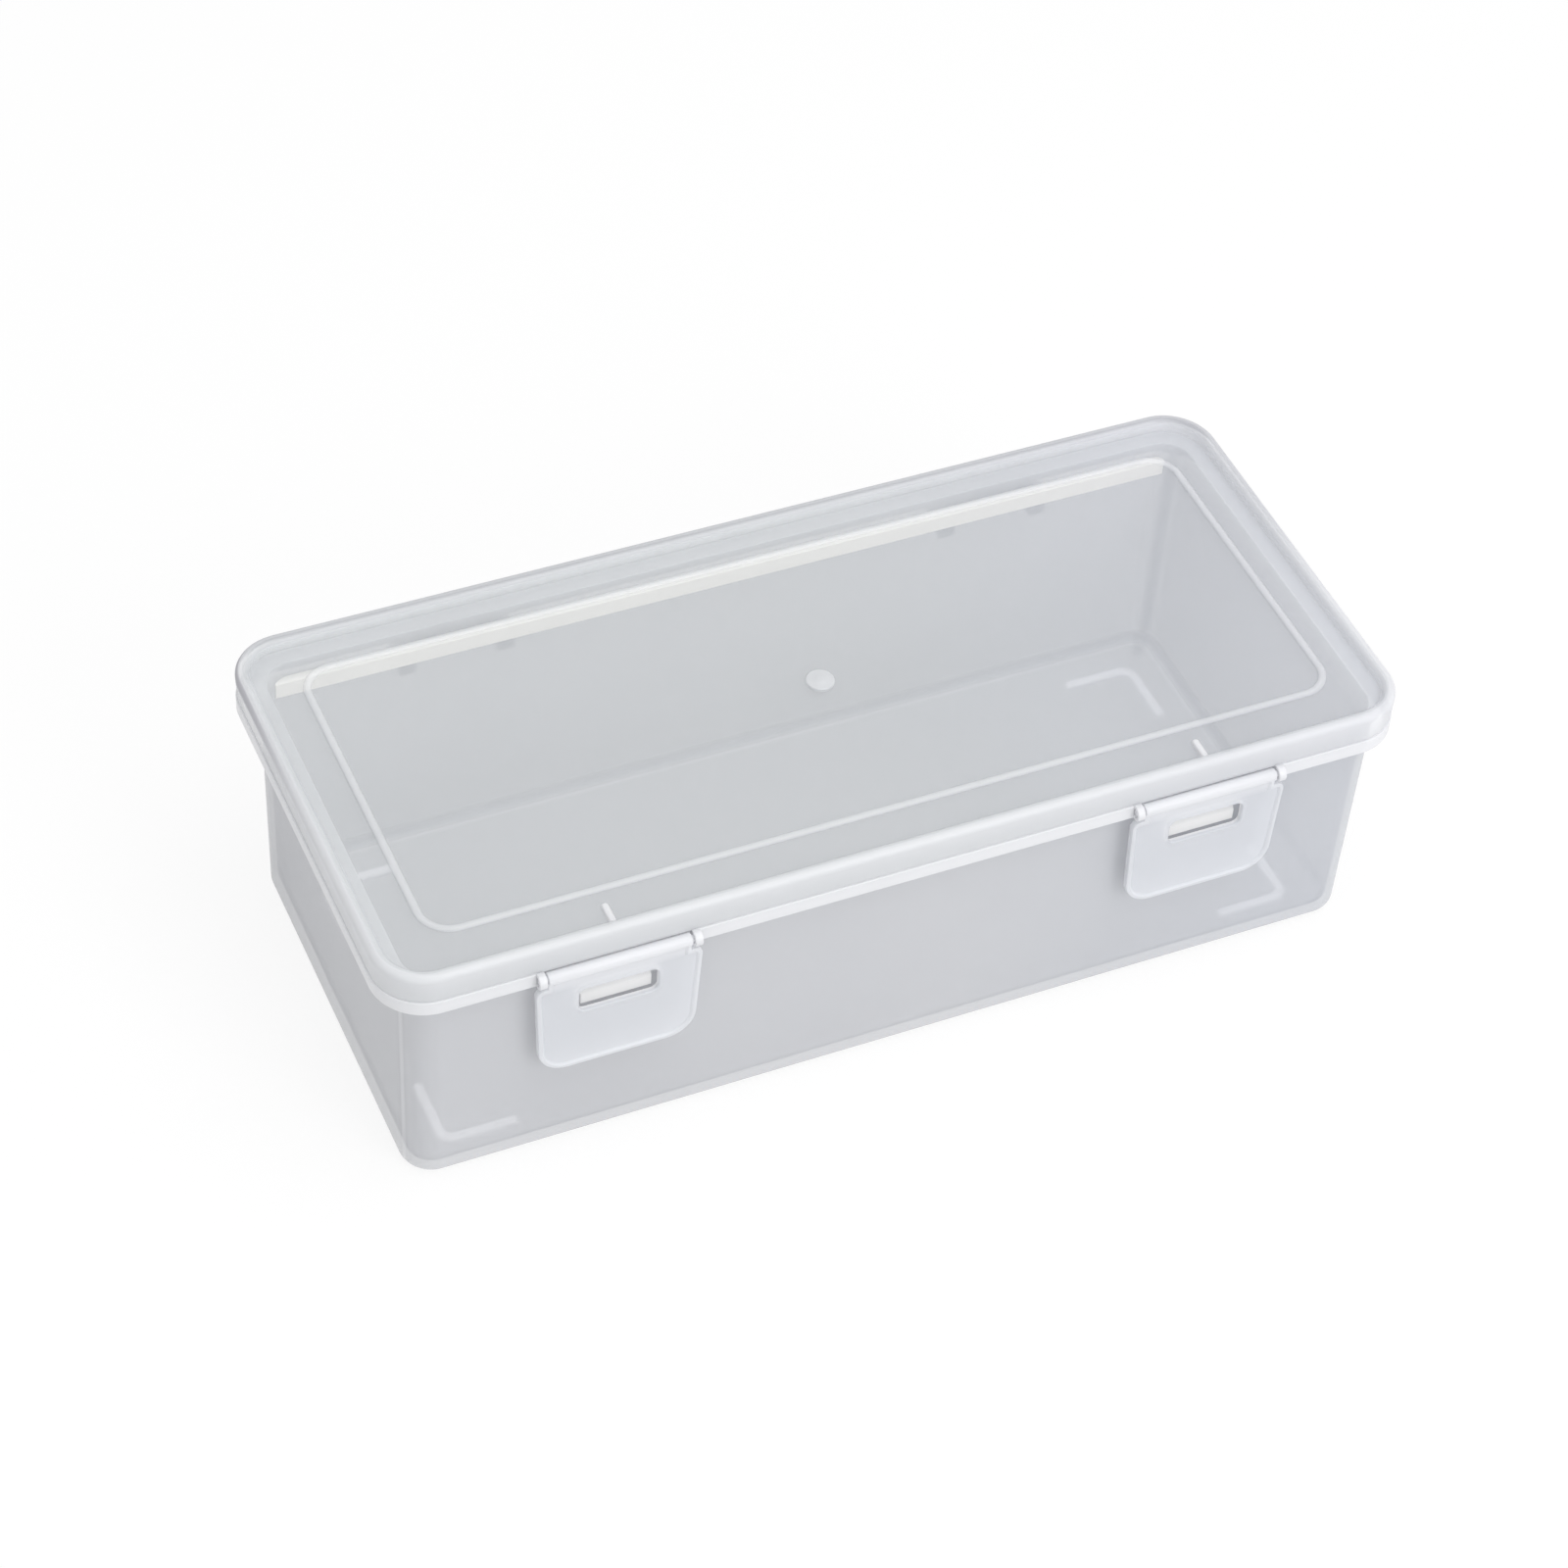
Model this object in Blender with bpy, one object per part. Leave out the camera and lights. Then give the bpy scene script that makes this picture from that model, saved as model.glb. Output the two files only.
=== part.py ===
# Clip-top storage box in translucent plastic: a tray, a lid hinged along the back, and two
# latches that hang from the lid's front edge and close over catches on the tray.
# Metres, Z up. The origin is under the middle of the box, level with the soles of its feet,
# and the latches face -Y.

import math

import bmesh
import bpy
from mathutils import Matrix

# Whole box, measured over the lid's rim
rim_length = 0.1800
rim_depth = 0.0814
rim_corner = 0.0090
box_height = 0.0511

# Lid
skirt_height = 0.0083
skirt_wall = 0.0011
panel_wall = 0.0012
rim_round = 0.0011
rim_top_width = 0.0006
rim_step = 0.0012
skirt_band_height = 0.0027
skirt_chamfer = 0.0003
groove_height = 0.0005
groove_depth = 0.0004
ridge_from_end = 0.0102
ridge_from_side = 0.0098
ridge_corner = 0.0052
ridge_width = 0.0015
ridge_height = 0.0005
gate_radius = 0.0024
gate_height = 0.0003
gate_nub_radius = 0.0008
gate_nub_height = 0.0004
tick_length = 0.0042
tick_width = 0.0012
tick_height = 0.0004
tick_from_side = 0.0024

# Tray, which stands a little nearer to the rim's front than to its back
tray_from_end = 0.0037
tray_from_side = 0.0029
tray_forward = 0.00085
tray_lean = 0.0005
tray_wall = 0.0012
tray_floor = 0.0012
tray_outer_round = 0.0022
tray_inner_round = 0.0018
lip_height = 0.0013
lip_chamfer = 0.0002
lip_slope_height = 0.0011
lip_clearance = 0.0007
seat_clearance = 0.0003
rail_below_lip = 0.0031
rail_height = 0.0045
rail_depth = 0.0008
rail_from_end = 0.0026

# Feet: four L-shaped ribs under the floor, a little nearer to its front than to its back
foot_height = 0.0006
foot_arm = 0.0120
foot_width = 0.0016
foot_corner = 0.0030
foot_from_end = 0.0080
foot_from_side = 0.0072
foot_forward = 0.0008
foot_tip_share = 0.85  # rounding of an arm's end, as a share of half its width

# Rear hinge: the lid's two barrels turn on their end pins in pairs of ears on the tray
hinge_from_end = 0.0400
hinge_barrel_length = 0.0140
hinge_barrel_radius = 0.0015
hinge_pin_radius = 0.0008
hinge_pin_length = 0.0026
hinge_ear_thickness = 0.0030
hinge_ear_wall = 0.0005

# Latches: each one's barrel lies in a notch of the skirt's band, between two ears for its end pins
latch_from_end = 0.0380
tab_width = 0.0282
tab_taper = 0.0008
tab_length = 0.0216
tab_wall = 0.0013
tab_low_corner = 0.0050
tab_shoulder_corner = 0.0015
tab_border = 0.0010
tab_border_height = 0.0003
tab_forward = 0.0007
latch_barrel_radius = 0.0011
latch_pin_radius = 0.0006
latch_pin_length = 0.0014
latch_pivot_rise = 0.0016
latch_ear_thickness = 0.0013
latch_ear_wall = 0.0005
latch_ear_setback = 0.0001
latch_ear_from_side = 0.0004
window_width = 0.0134
window_height = 0.0049
window_below_pivot = 0.0044
window_corner = 0.0012
window_frame = 0.0008

# Catches on the tray's front wall, behind the latches' windows
catch_width = 0.0120
catch_nose_height = 0.0021
catch_below_window_top = 0.0003
catch_to_tab = 0.0003
catch_to_window_sill = 0.0001

# Running clearances, and how far a piece that is fused to another one reaches into it
pin_clearance = 0.0003
turning_gap = 0.0003
overlap = 0.0004
cut_overrun = 0.0010

# How finely round shapes are faceted
corner_steps = 7
edge_steps = 3
round_sides = 20

# Half sizes and heights that follow from the sizes above
rim_half_x = rim_length / 2
rim_half_y = rim_depth / 2
skirt_bottom = box_height - skirt_height
panel_top = box_height - rim_step
panel_under = panel_top - panel_wall
lip_top = panel_under - seat_clearance
floor_under = foot_height
floor_top = floor_under + tray_floor
skirt_inner_y = rim_half_y - skirt_wall
tray_half_x = rim_half_x - tray_from_end
tray_half_y = rim_half_y - tray_from_side
tray_corner = rim_corner - tray_from_side

# The latches' pivots: their ears end level with the inside of the skirt, and each ear stands over
# a shoulder in the top corner of the tab
latch_from_middle = rim_half_x - latch_from_end
latch_ear_radius = latch_pin_radius + pin_clearance + latch_ear_wall
latch_ear_end = tab_width / 2 - latch_ear_from_side
latch_ear_start = latch_ear_end - latch_ear_thickness
tab_neck_half = latch_ear_start - turning_gap
tab_shoulder_drop = max(latch_ear_radius, latch_pivot_rise) + turning_gap
latch_pivot_y = -(skirt_inner_y + latch_ear_setback + latch_ear_radius)
latch_pivot_z = skirt_bottom + latch_pivot_rise
latch_notch_top = latch_pivot_z + latch_barrel_radius + turning_gap
tab_front_y = -tab_forward
tab_back_y = tab_front_y + tab_wall

# The rear hinge stands as far proud of the rim as the latches' ears do
hinge_from_middle = rim_half_x - hinge_from_end
hinge_ear_radius = hinge_pin_radius + pin_clearance + hinge_ear_wall
hinge_proud = -latch_pivot_y + latch_ear_radius - rim_half_y
hinge_y = rim_half_y + hinge_proud - hinge_ear_radius
hinge_z = skirt_bottom - turning_gap - hinge_ear_radius

plastics = {
    "tray": ((0.78, 0.79, 0.82), 0.34, 0.55),
    "lid": ((0.80, 0.82, 0.84), 0.30, 0.55),
    "latch": ((0.86, 0.87, 0.89), 0.36, 0.75),
}


def plastic(name):
    colour, roughness, alpha = plastics[name]
    material = bpy.data.materials.new(name + "_plastic")
    material.use_nodes = True
    shader = material.node_tree.nodes["Principled BSDF"]
    shader.inputs["Base Color"].default_value = (*colour, 1)
    shader.inputs["Roughness"].default_value = roughness
    shader.inputs["Metallic"].default_value = 0
    shader.inputs["Alpha"].default_value = alpha
    return material


def rounded(corners):
    # corners: (u, v, radius) anticlockwise; each is turned into an arc, or kept if it has no radius
    points = []
    for index, (u, v, radius) in enumerate(corners):
        if radius == 0:
            points.append((u, v))
            continue
        before = corners[index - 1]
        after = corners[(index + 1) % len(corners)]
        back = math.atan2(before[1] - v, before[0] - u)
        forth = math.atan2(after[1] - v, after[0] - u)
        opening = (back - forth) % math.tau
        to_centre = radius / math.sin(opening / 2)
        middle = forth + opening / 2
        centre_u = u + to_centre * math.cos(middle)
        centre_v = v + to_centre * math.sin(middle)
        turn = math.pi - opening
        start = middle + math.pi - turn / 2
        for step in range(corner_steps + 1):
            angle = start + turn * step / corner_steps
            points.append((centre_u + radius * math.cos(angle), centre_v + radius * math.sin(angle)))
    return points


def rectangle(half_u, half_v, radius):
    signs = ((1, 1), (-1, 1), (-1, -1), (1, -1))
    return rounded([(side_u * half_u, side_v * half_v, radius) for side_u, side_v in signs])


def arc(centre_u, centre_v, radius, start_share, end_share, steps):
    # the two shares are of a whole turn, from the first axis towards the second
    points = []
    for step in range(steps + 1):
        angle = math.tau * (start_share + (end_share - start_share) * step / steps)
        points.append((centre_u + radius * math.cos(angle), centre_v + radius * math.sin(angle)))
    return points


def circle(centre_u, centre_v, radius):
    return arc(centre_u, centre_v, radius, 0, 1, round_sides)[:-1]


def loft(name, rings, along):
    # rings: (outline, level along the named axis); both ends are closed
    shape = bmesh.new()
    loops = []
    for outline, level in rings:
        loop = []
        for u, v in outline:
            place = {"X": (level, u, v), "Y": (u, level, v), "Z": (u, v, level)}[along]
            loop.append(shape.verts.new(place))
        loops.append(loop)
    for near, far in zip(loops, loops[1:]):
        for index in range(len(near)):
            shape.faces.new((near[index - 1], near[index], far[index], far[index - 1]))
    shape.faces.new(loops[0])
    shape.faces.new(loops[-1])
    bmesh.ops.recalc_face_normals(shape, faces=shape.faces)
    mesh = bpy.data.meshes.new(name)
    shape.to_mesh(mesh)
    shape.free()
    piece = bpy.data.objects.new(name, mesh)
    bpy.context.scene.collection.objects.link(piece)
    return piece


def prism(name, outline, low, high, along):
    return loft(name, [(outline, low), (outline, high)], along)


def combine(piece, tools, operation):
    for tool in tools:
        step = piece.modifiers.new(tool.name, "BOOLEAN")
        step.operation = operation
        step.solver = "EXACT"
        step.object = tool
    bpy.context.view_layer.update()
    result = bpy.data.meshes.new_from_object(piece.evaluated_get(bpy.context.evaluated_depsgraph_get()))
    piece.modifiers.clear()
    result.name = piece.name
    piece.data = result
    for tool in tools:
        bpy.data.objects.remove(tool)


def finish(piece, material):
    piece.data.materials.clear()
    piece.data.materials.append(material)
    piece.data.shade_smooth()
    piece.data.set_sharp_from_angle(angle=math.radians(32))


def rim_ring(inset, level):
    # an outline that follows the lid's rim, this far inside it
    return rectangle(rim_half_x - inset, rim_half_y - inset, rim_corner - inset), level


def tray_ring(inset, level):
    # the tray's walls lean out towards the top
    height_share = (level - floor_under) / (skirt_bottom - floor_under)
    inset += tray_lean * (1 - min(height_share, 1))
    outline = rectangle(tray_half_x - inset, tray_half_y - inset, tray_corner - inset)
    return [(x, y - tray_forward) for x, y in outline], level


def tray_wall_y(side, inset, level):
    # where the rear wall (side 1) or the front wall (side -1) lies, this far in from its outer face
    height_share = (level - floor_under) / (skirt_bottom - floor_under)
    half = tray_half_y - inset - tray_lean * (1 - min(height_share, 1))
    return side * half - tray_forward


def make_tray():
    lip_inset = skirt_wall + lip_clearance
    rings = []
    for step in range(edge_steps + 1):
        angle = math.pi / 2 * step / edge_steps
        inset = tray_outer_round * (1 - math.sin(angle))
        rings.append(tray_ring(inset, floor_under + tray_outer_round * (1 - math.cos(angle))))
    rings.append(tray_ring(0, skirt_bottom))
    rings.append(tray_ring(0, lip_top - lip_height - lip_slope_height))
    rings.append(rim_ring(lip_inset, lip_top - lip_height))
    rings.append(rim_ring(lip_inset, lip_top - lip_chamfer))
    rings.append(rim_ring(lip_inset + lip_chamfer, lip_top))
    rings.append(tray_ring(tray_wall - lip_chamfer, lip_top))
    rings.append(tray_ring(tray_wall, lip_top - lip_chamfer))
    rings.append(tray_ring(tray_wall, skirt_bottom))
    for step in range(edge_steps + 1):
        angle = math.pi / 2 * step / edge_steps
        inset = tray_wall + tray_inner_round * (1 - math.cos(angle))
        rings.append(tray_ring(inset, floor_top + tray_inner_round * (1 - math.sin(angle))))
    tray = loft("tray", rings, "Z")
    additions = [make_rail(), *make_feet()]
    cuts = []
    for side in (-1, 1):
        additions.append(make_catch(side * latch_from_middle))
        ears, holes = make_hinge_ears(side * hinge_from_middle)
        additions += ears
        cuts += holes
    combine(tray, additions, "UNION")
    combine(tray, cuts, "DIFFERENCE")
    finish(tray, plastic("tray"))
    return tray


def make_rail():
    # a stiffening rail inside the rear wall, at the height where the hinge pulls on it
    top = lip_top - rail_below_lip
    bottom = top - rail_height
    wall_y = tray_wall_y(1, tray_wall, bottom)
    outline = [
        (wall_y + overlap, bottom - overlap),
        (wall_y + overlap, top + overlap),
        (wall_y - rail_depth, top - rail_depth),
        (wall_y - rail_depth, bottom + rail_depth),
    ]
    reach = tray_half_x - tray_wall - rail_from_end
    return prism("rail", outline, -reach, reach, "X")


def make_feet():
    # an L seen from above, whose outside corner and hollow corner turn about one centre
    half = foot_width / 2
    tip = half * foot_tip_share
    out_x = tray_half_x - tray_lean - foot_from_end + half
    out_y = tray_half_y - tray_lean - foot_from_side + half
    end_x = out_x - foot_width - foot_arm
    end_y = out_y - foot_width - foot_arm
    hollow = arc(out_x - foot_corner, out_y - foot_corner, foot_corner - foot_width, 1 / 4, 0, corner_steps)
    outline = rounded([
        (out_x, out_y, foot_corner),
        (end_x, out_y, tip),
        (end_x, out_y - foot_width, tip),
        *[(x, y, 0) for x, y in hollow],
        (out_x - foot_width, end_y, tip),
        (out_x, end_y, tip),
    ])
    feet = []
    for side_x in (-1, 1):
        for side_y in (-1, 1):
            placed = [(side_x * x, side_y * y - tray_forward - foot_forward) for x, y in outline]
            feet.append(prism("foot", placed, 0, floor_under + overlap, "Z"))
    return feet


def make_catch(x):
    # a wedge whose blunt nose shows through the latch's window
    wall_y = tray_wall_y(-1, 0, latch_pivot_z)
    nose_y = latch_pivot_y + tab_back_y + catch_to_tab
    top = latch_pivot_z - window_below_pivot - catch_below_window_top
    bottom = latch_pivot_z - window_below_pivot - window_height + catch_to_window_sill
    outline = [
        (wall_y + overlap, bottom),
        (nose_y, bottom),
        (nose_y, bottom + catch_nose_height),
        (wall_y, top),
        (wall_y + overlap, top),
    ]
    return prism("catch", outline, x - catch_width / 2, x + catch_width / 2, "X")


def make_hinge_ears(x):
    # two ears reach back from the rear wall, each with a hole for the lid's pin
    ears = []
    holes = []
    wall_y = tray_wall_y(1, 0, hinge_z)
    rounded_end = arc(hinge_y, hinge_z, hinge_ear_radius, -1 / 4, 1 / 4, round_sides // 2)
    outline = rounded_end + [
        (wall_y - overlap, hinge_z + hinge_ear_radius),
        (wall_y - overlap, hinge_z - 2 * hinge_ear_radius),
    ]
    start = hinge_barrel_length / 2 + turning_gap
    end = start + hinge_ear_thickness
    for side in (-1, 1):
        low, high = sorted((x + side * start, x + side * end))
        ears.append(prism("hinge_ear", outline, low, high, "X"))
        hole = circle(hinge_y, hinge_z, hinge_pin_radius + pin_clearance)
        holes.append(prism("hinge_hole", hole, low - turning_gap / 2, high + cut_overrun, "X"))
    return ears, holes


def make_lid():
    # the rings run from the middle of the underside, over the rim, to the middle of the top
    ridge_x = rim_half_x - ridge_from_end
    ridge_y = rim_half_y - ridge_from_side
    half = ridge_width / 2
    crest = ridge_width / 4
    top_inset = rim_round + rim_top_width
    rings = [
        rim_ring(top_inset + rim_step, panel_under),
        rim_ring(top_inset, panel_under + rim_step),
        rim_ring(skirt_wall + skirt_chamfer, panel_under + rim_step),
        rim_ring(skirt_wall, panel_under + rim_step - skirt_chamfer),
        rim_ring(skirt_wall, skirt_bottom),
        rim_ring(skirt_chamfer, skirt_bottom),
        rim_ring(0, skirt_bottom + skirt_chamfer),
        rim_ring(0, skirt_bottom + skirt_band_height),
        rim_ring(groove_depth, skirt_bottom + skirt_band_height + groove_height / 2),
        rim_ring(groove_depth / 2, skirt_bottom + skirt_band_height + groove_height),
    ]
    for step in range(edge_steps + 1):
        angle = math.pi / 2 * step / edge_steps
        rings.append(rim_ring(rim_round * (1 - math.cos(angle)), box_height - rim_round * (1 - math.sin(angle))))
    rings.append(rim_ring(top_inset, box_height))
    rings.append(rim_ring(top_inset + rim_step, panel_top))
    for offset, level in ((half, 0), (crest, ridge_height), (-crest, ridge_height), (-half, 0)):
        outline = rectangle(ridge_x + offset, ridge_y + offset, ridge_corner + offset)
        rings.append((outline, panel_top + level))
    lid = loft("lid", rings, "Z")
    gate = prism("gate", circle(0, 0, gate_radius), panel_top - overlap, panel_top + gate_height, "Z")
    nub = prism("nub", circle(0, 0, gate_nub_radius), panel_top - overlap, panel_top + gate_nub_height, "Z")
    additions = [gate, nub, *make_ticks()]
    notches = []
    cuts = []
    for side in (-1, 1):
        additions.append(make_hinge_barrel(side * hinge_from_middle))
        notches.append(make_latch_notch(side * latch_from_middle))
        ears, holes = make_latch_ears(side * latch_from_middle)
        additions += ears
        cuts += holes
    combine(lid, notches, "DIFFERENCE")
    combine(lid, additions, "UNION")
    combine(lid, cuts, "DIFFERENCE")
    return lid


def make_ticks():
    # a short raised rib over each latch, from the rim towards the ridge
    half_long = tick_length / 2
    half_wide = tick_width / 2
    middle_y = tick_from_side + half_long - rim_half_y
    ticks = []
    for x in (-latch_from_middle, latch_from_middle):
        outline = [(x + u, middle_y + v) for u, v in rectangle(half_wide, half_long, half_wide / 2)]
        ticks.append(prism("tick", outline, panel_top - overlap, panel_top + tick_height, "Z"))
    return ticks


def make_hinge_barrel(x):
    # a barrel under the skirt's rear edge, carried by a neck, with a pin at each end
    half = hinge_barrel_length / 2
    barrel = prism("barrel", circle(hinge_y, hinge_z, hinge_barrel_radius), x - half, x + half, "X")
    pin = circle(hinge_y, hinge_z, hinge_pin_radius)
    pins = prism("pins", pin, x - half - hinge_pin_length, x + half + hinge_pin_length, "X")
    neck_in = skirt_inner_y + latch_ear_setback
    neck_out = rim_half_y - latch_ear_setback
    outline = [
        (neck_in, hinge_z),
        (hinge_y, hinge_z),
        (neck_out, skirt_bottom + skirt_band_height / 2),
        (neck_in, skirt_bottom + skirt_band_height / 2),
    ]
    neck = prism("neck", outline, x - half, x + half, "X")
    combine(barrel, [pins, neck], "UNION")
    return barrel


def make_latch_notch(x):
    # what is cut out of the skirt's lower edge for a barrel
    outline = [
        (-rim_half_y - cut_overrun, skirt_bottom - cut_overrun),
        (-skirt_inner_y + cut_overrun, skirt_bottom - cut_overrun),
        (-skirt_inner_y + cut_overrun, latch_notch_top),
        (-rim_half_y - cut_overrun, latch_notch_top),
    ]
    return prism("notch", outline, x - latch_ear_start, x + latch_ear_start, "X")


def make_latch_ears(x):
    # each ear is a round boss on the skirt's outside that reaches back to its inside
    ears = []
    holes = []
    outline = circle(latch_pivot_y, latch_pivot_z, latch_ear_radius)
    for side in (-1, 1):
        low, high = sorted((x + side * latch_ear_start, x + side * latch_ear_end))
        ears.append(prism("latch_ear", outline, low, high, "X"))
        hole = circle(latch_pivot_y, latch_pivot_z, latch_pin_radius + pin_clearance)
        holes.append(prism("latch_hole", hole, low - turning_gap / 2, high + turning_gap, "X"))
    return ears, holes


def tab_outline(inset):
    # seen from the front, with the pivot at the origin: a neck between the ears, then the tab
    # itself, whose sides draw in towards the bottom
    neck_half = tab_neck_half - inset
    top_half = tab_width / 2 - inset
    low_half = top_half - tab_taper
    shoulder = -tab_shoulder_drop - inset
    low = inset - tab_length
    return rounded([
        (top_half, shoulder, tab_shoulder_corner - inset),
        (neck_half, shoulder, 0),
        (neck_half, -inset, 0),
        (-neck_half, -inset, 0),
        (-neck_half, shoulder, 0),
        (-top_half, shoulder, tab_shoulder_corner - inset),
        (-low_half, low, tab_low_corner - inset),
        (low_half, low, tab_low_corner - inset),
    ])


def make_latch_mesh():
    # modelled about the pivot's middle: the tab hangs down and its face looks towards -Y
    chamfer = tab_border_height / 2
    rings = [
        (tab_outline(chamfer), tab_back_y),
        (tab_outline(0), tab_back_y - chamfer),
        (tab_outline(0), tab_front_y + chamfer),
        (tab_outline(chamfer), tab_front_y),
        (tab_outline(tab_border - chamfer), tab_front_y),
        (tab_outline(tab_border), tab_front_y + tab_border_height),
    ]
    latch = loft("latch", rings, "Y")
    barrel = prism("barrel", circle(0, 0, latch_barrel_radius), -tab_neck_half, tab_neck_half, "X")
    pin_reach = tab_neck_half + latch_pin_length
    pins = prism("pins", circle(0, 0, latch_pin_radius), -pin_reach, pin_reach, "X")
    middle = -window_below_pivot - window_height / 2
    half_x = window_width / 2
    half_z = window_height / 2
    frame = [(u, middle + v) for u, v in rectangle(half_x + window_frame, half_z + window_frame, window_corner)]
    frame_piece = prism("frame", frame, tab_front_y, tab_front_y + tab_wall / 2, "Y")
    window = [(u, middle + v) for u, v in rectangle(half_x, half_z, window_corner)]
    window_piece = prism("window", window, tab_front_y - cut_overrun, tab_back_y + cut_overrun, "Y")
    combine(latch, [barrel, pins, frame_piece], "UNION")
    combine(latch, [window_piece], "DIFFERENCE")
    finish(latch, plastic("latch"))
    mesh = latch.data
    bpy.data.objects.remove(latch)
    return mesh


def main():
    for old in list(bpy.data.objects):
        bpy.data.objects.remove(old, do_unlink=True)
    make_tray()
    lid = make_lid()
    # the lid's origin goes to its hinge line
    lid.data.transform(Matrix.Translation((0, -hinge_y, -hinge_z)))
    lid.location = (0, hinge_y, hinge_z)
    finish(lid, plastic("lid"))
    latch_mesh = make_latch_mesh()
    for name, side in (("latch_left", -1), ("latch_right", 1)):
        latch = bpy.data.objects.new(name, latch_mesh)
        bpy.context.scene.collection.objects.link(latch)
        latch.parent = lid
        latch.location = (side * latch_from_middle, latch_pivot_y - hinge_y, latch_pivot_z - hinge_z)
    bpy.context.view_layer.update()


main()
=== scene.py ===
import math
import bmesh
import bpy
from mathutils import Matrix, Vector
from mathutils.bvhtree import BVHTree
from mathutils.interpolate import poly_3d_calc


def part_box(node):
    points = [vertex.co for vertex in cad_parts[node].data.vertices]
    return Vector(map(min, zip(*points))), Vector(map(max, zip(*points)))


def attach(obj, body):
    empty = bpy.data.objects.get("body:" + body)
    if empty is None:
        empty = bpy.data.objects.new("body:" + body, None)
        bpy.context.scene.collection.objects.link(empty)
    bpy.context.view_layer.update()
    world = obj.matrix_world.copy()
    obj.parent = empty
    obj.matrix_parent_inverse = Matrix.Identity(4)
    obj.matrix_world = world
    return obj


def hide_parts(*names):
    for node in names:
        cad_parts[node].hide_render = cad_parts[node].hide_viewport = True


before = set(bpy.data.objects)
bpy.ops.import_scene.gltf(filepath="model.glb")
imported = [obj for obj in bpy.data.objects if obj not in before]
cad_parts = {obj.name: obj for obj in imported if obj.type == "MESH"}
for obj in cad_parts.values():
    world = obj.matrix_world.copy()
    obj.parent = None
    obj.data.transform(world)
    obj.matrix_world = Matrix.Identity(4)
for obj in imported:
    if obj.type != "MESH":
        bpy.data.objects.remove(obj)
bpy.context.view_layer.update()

# Clip-top storage box in translucent plastic. Sizes in the dictionaries are millimetres, and
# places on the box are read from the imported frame.
mm = 0.001
lidLow, lidHigh = (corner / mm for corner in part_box("lid"))
trayLow, trayHigh = (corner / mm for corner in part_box("tray"))
latchLow, latchHigh = (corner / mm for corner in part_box("latch_right"))

# What several pieces share
sharpAngle = math.radians(35)
holeSides = 24
cutOverrun = 1
flatRing = 1  # from a bend to the ring that keeps the wall beside it flat
overlap = 0.3  # how far a piece reaches into the one that carries it
hiddenRound = 0.05
rearFrom = 0.25  # what grows towards the rear is half grown here, as a share of half the depth,
rearBlur = 1.5  # and grows over this share of it


# Shader sums

class Wire:
    # one socket of a material; sums written with it add the Math nodes that they need
    def __init__(self, tree, socket=None):
        self.tree = tree
        self.socket = socket

    def node(self, kind, settings=None, sockets=None, output=0):
        made = self.tree.nodes.new(kind)
        for name, value in (settings or {}).items():
            setattr(made, name, value)
        for name, value in (sockets or {}).items():
            if isinstance(value, Wire):
                self.tree.links.new(value.socket, made.inputs[name])
            else:
                made.inputs[name].default_value = value
        return Wire(self.tree, made.outputs[output])

    def axis(self, name):
        return self.node("ShaderNodeSeparateXYZ", None, {0: self}, name)

    def sum(self, operation, *terms):
        return self.node("ShaderNodeMath", {"operation": operation}, dict(enumerate(terms)))

    def __add__(self, other):
        return self.sum("ADD", self, other)

    def __radd__(self, other):
        return self.sum("ADD", other, self)

    def __sub__(self, other):
        return self.sum("SUBTRACT", self, other)

    def __rsub__(self, other):
        return self.sum("SUBTRACT", other, self)

    def __mul__(self, other):
        return self.sum("MULTIPLY", self, other)

    def __rmul__(self, other):
        return self.sum("MULTIPLY", other, self)

    def __abs__(self):
        return self.sum("ABSOLUTE", self)

    def above(self, level, blur):
        # 0 under the level and 1 over it, turning softly within the blur
        settings = {"interpolation_type": "SMOOTHSTEP"}
        sockets = {"Value": self, "From Min": level - blur / 2, "From Max": level + blur / 2}
        return self.node("ShaderNodeMapRange", settings, sockets)

    def between(self, low, high, blur):
        return self.above(low, blur) * (1 - self.above(high, blur))

    def larger(self, other):
        return self.sum("MAXIMUM", self, other)

    def root(self):
        return self.sum("SQRT", self)

    def blend(self, first, second):
        # mixes two colours, with this value as the share of the second
        settings = {"data_type": "RGBA"}
        return self.node("ShaderNodeMix", settings, {0: self, 6: first, 7: second}, 2)


def solidColour(red, green, blue):
    return (red, green, blue, 1)


def noiseAt(place, grain, detail=2):
    # grain is the rough size of a blotch, in millimetres
    sockets = {"Vector": place, "Scale": 1 / (grain * mm), "Detail": detail}
    return place.node("ShaderNodeTexNoise", None, sockets)


# Outlines and solids

supportShare = 1.3  # a bend's support point lies this much further out than its arc
blockBevel = {"segments": 3, "profile": 0.5, "affect": "EDGES", "clamp_overlap": True}


def roundedLoop(corners, steps):
    # corners: (u, v, radius), hollow corners too; each becomes an arc of this many steps, or stays
    # one point if its radius is 0; steps is one count or a count for each corner
    counts = steps if isinstance(steps, tuple) else (steps,) * len(corners)
    points = []
    for index, (u, v, radius) in enumerate(corners):
        if radius == 0:
            points.append((u, v))
            continue
        here = Vector((u, v))
        back = (Vector(corners[index - 1][:2]) - here).normalized()
        forth = (Vector(corners[(index + 1) % len(corners)][:2]) - here).normalized()
        half = back.angle(forth) / 2
        centre = here + (back + forth).normalized() * radius / math.sin(half)
        start = here + back * radius / math.tan(half) - centre
        end = here + forth * radius / math.tan(half) - centre
        turn = start.angle_signed(end)
        for step in range(counts[index] + 1):
            spot = centre + Matrix.Rotation(-turn * step / counts[index], 2) @ start
            points.append((spot.x, spot.y))
    return points


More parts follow.
